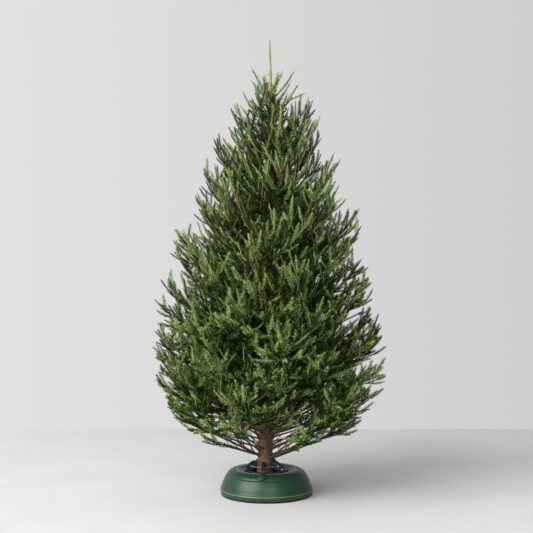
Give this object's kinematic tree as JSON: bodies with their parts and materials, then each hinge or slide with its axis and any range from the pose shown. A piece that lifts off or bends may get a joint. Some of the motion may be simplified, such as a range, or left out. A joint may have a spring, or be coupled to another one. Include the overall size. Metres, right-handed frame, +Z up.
{
  "type": "christmas tree in stand",
  "caption": "Cut spruce Christmas tree, undecorated, with a full conical crown of upswept boughs, held upright by claws in a low round green stand.",
  "frame": {"origin": "middle of the stand's flat underside, on the floor", "axes": "+Z up along the trunk; the pedal points to the front, towards -Y"},
  "size_m": [1.1263, 1.1302, 2.27],
  "materials": {
    "bark": "rough scaly grey-brown bark with peeled orange-brown wood at the foot",
    "needles": "short stiff mid-green needles on pale tan shoots",
    "stand_green": "satin dark green moulding with thin gold lines",
    "black_plastic": "matte black moulding",
    "rubber": "matte black rubber",
    "steel": "twisted bare wire rope"
  },
  "bodies": {
    "root": {"stand_bowl": "stand_green", "stand_foot_band": "rubber", "claw_ring": "black_plastic", "claw_1": "black_plastic", "claw_2": "black_plastic", "claw_3": "black_plastic", "claw_4": "black_plastic", "claw_5": "black_plastic", "claw_cable": "steel", "stand_pedal": "stand_green", "trunk": "bark", "bough_1_1": "bark", "foliage_1_1": "needles", "bough_1_2": "bark", "foliage_1_2": "needles", "bough_1_3": "bark", "foliage_1_3": "needles", "bough_1_4": "bark", "foliage_1_4": "needles", "bough_1_5": "bark", "foliage_1_5": "needles", "bough_2_1": "bark", "foliage_2_1": "needles", "bough_2_2": "bark", "foliage_2_2": "needles", "bough_2_3": "bark", "foliage_2_3": "needles", "bough_2_4": "bark", "foliage_2_4": "needles", "bough_2_5": "bark", "foliage_2_5": "needles", "bough_2_6": "bark", "foliage_2_6": "needles", "foliage_3_1": "needles", "foliage_3_2": "needles", "foliage_3_3": "needles", "foliage_3_4": "needles", "foliage_3_5": "needles", "foliage_4_1": "needles", "foliage_4_2": "needles", "foliage_4_3": "needles", "foliage_4_4": "needles", "foliage_4_5": "needles", "foliage_5_1": "needles", "foliage_5_2": "needles", "foliage_5_3": "needles", "foliage_5_4": "needles", "foliage_5_5": "needles", "foliage_6_1": "needles", "foliage_6_2": "needles", "foliage_6_3": "needles", "foliage_6_4": "needles", "foliage_7_1": "needles", "foliage_7_2": "needles", "foliage_7_3": "needles", "foliage_7_4": "needles", "foliage_8_1": "needles", "foliage_8_2": "needles", "foliage_8_3": "needles", "foliage_top": "needles"}
  },
  "joints": []
}
